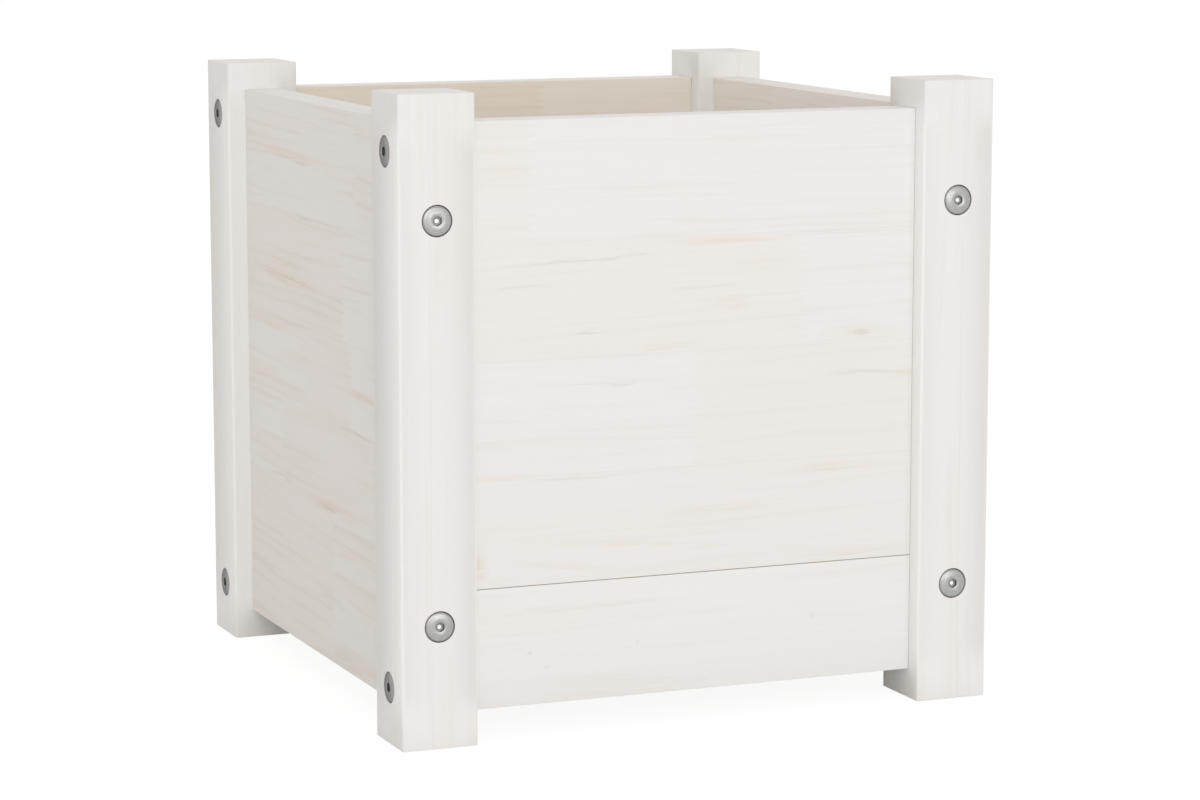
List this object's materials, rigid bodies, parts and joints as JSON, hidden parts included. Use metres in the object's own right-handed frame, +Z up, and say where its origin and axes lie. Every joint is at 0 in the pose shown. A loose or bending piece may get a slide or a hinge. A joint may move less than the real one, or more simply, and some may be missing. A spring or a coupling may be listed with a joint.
{
  "type": "planter box",
  "caption": "Square white-washed pine planter box with corner posts, bolted panels and a slatted floor with drainage gaps.",
  "frame": {"origin": "on the ground, under the middle of the box", "axes": "+Z up, +X to the right and +Y to the back, seen from the front, whose panel is in two boards"},
  "size_m": [0.3116, 0.3116, 0.31],
  "materials": {
    "whitewashed_pine": "thin white wash, satin",
    "plain_pine": "planed and lightly white-washed",
    "beech": "bare, fluted",
    "zinc_steel": "bright zinc plate",
    "yellow_zinc_steel": "yellow zinc plate"
  },
  "bodies": {
    "root": {"post_front_left": "whitewashed_pine", "post_front_right": "whitewashed_pine", "post_back_left": "whitewashed_pine", "post_back_right": "whitewashed_pine", "front_upper_board": "whitewashed_pine", "front_lower_board": "whitewashed_pine", "back_upper_board": "whitewashed_pine", "back_lower_board": "whitewashed_pine", "left_panel": "whitewashed_pine", "right_panel": "whitewashed_pine", "floor_cleat_left": "plain_pine", "floor_cleat_right": "plain_pine", "floor_slat_1": "plain_pine", "floor_slat_2": "plain_pine", "floor_slat_3": "plain_pine", "dowel_front": "beech", "dowel_back": "beech", "bolt_front_left_side_upper": "zinc_steel", "bolt_front_left_side_lower": "zinc_steel", "bolt_front_left_end_upper": "zinc_steel", "bolt_front_left_end_lower": "zinc_steel", "bolt_front_right_side_upper": "zinc_steel", "bolt_front_right_side_lower": "zinc_steel", "bolt_front_right_end_upper": "zinc_steel", "bolt_front_right_end_lower": "zinc_steel", "bolt_back_left_side_upper": "zinc_steel", "bolt_back_left_side_lower": "zinc_steel", "bolt_back_left_end_upper": "zinc_steel", "bolt_back_left_end_lower": "zinc_steel", "bolt_back_right_side_upper": "zinc_steel", "bolt_back_right_side_lower": "zinc_steel", "bolt_back_right_end_upper": "zinc_steel", "bolt_back_right_end_lower": "zinc_steel", "insert_front_left_side_upper": "yellow_zinc_steel", "insert_front_left_side_lower": "yellow_zinc_steel", "insert_front_left_end_upper": "yellow_zinc_steel", "insert_front_left_end_lower": "yellow_zinc_steel", "insert_front_right_side_upper": "yellow_zinc_steel", "insert_front_right_side_lower": "yellow_zinc_steel", "insert_front_right_end_upper": "yellow_zinc_steel", "insert_front_right_end_lower": "yellow_zinc_steel", "insert_back_left_side_upper": "yellow_zinc_steel", "insert_back_left_side_lower": "yellow_zinc_steel", "insert_back_left_end_upper": "yellow_zinc_steel", "insert_back_left_end_lower": "yellow_zinc_steel", "insert_back_right_side_upper": "yellow_zinc_steel", "insert_back_right_side_lower": "yellow_zinc_steel", "insert_back_right_end_upper": "yellow_zinc_steel", "insert_back_right_end_lower": "yellow_zinc_steel", "slat_screw_left_1": "yellow_zinc_steel", "slat_screw_left_2": "yellow_zinc_steel", "slat_screw_left_3": "yellow_zinc_steel", "cleat_screw_left_1": "yellow_zinc_steel", "cleat_screw_left_2": "yellow_zinc_steel", "slat_screw_right_1": "yellow_zinc_steel", "slat_screw_right_2": "yellow_zinc_steel", "slat_screw_right_3": "yellow_zinc_steel", "cleat_screw_right_1": "yellow_zinc_steel", "cleat_screw_right_2": "yellow_zinc_steel"}
  },
  "joints": []
}
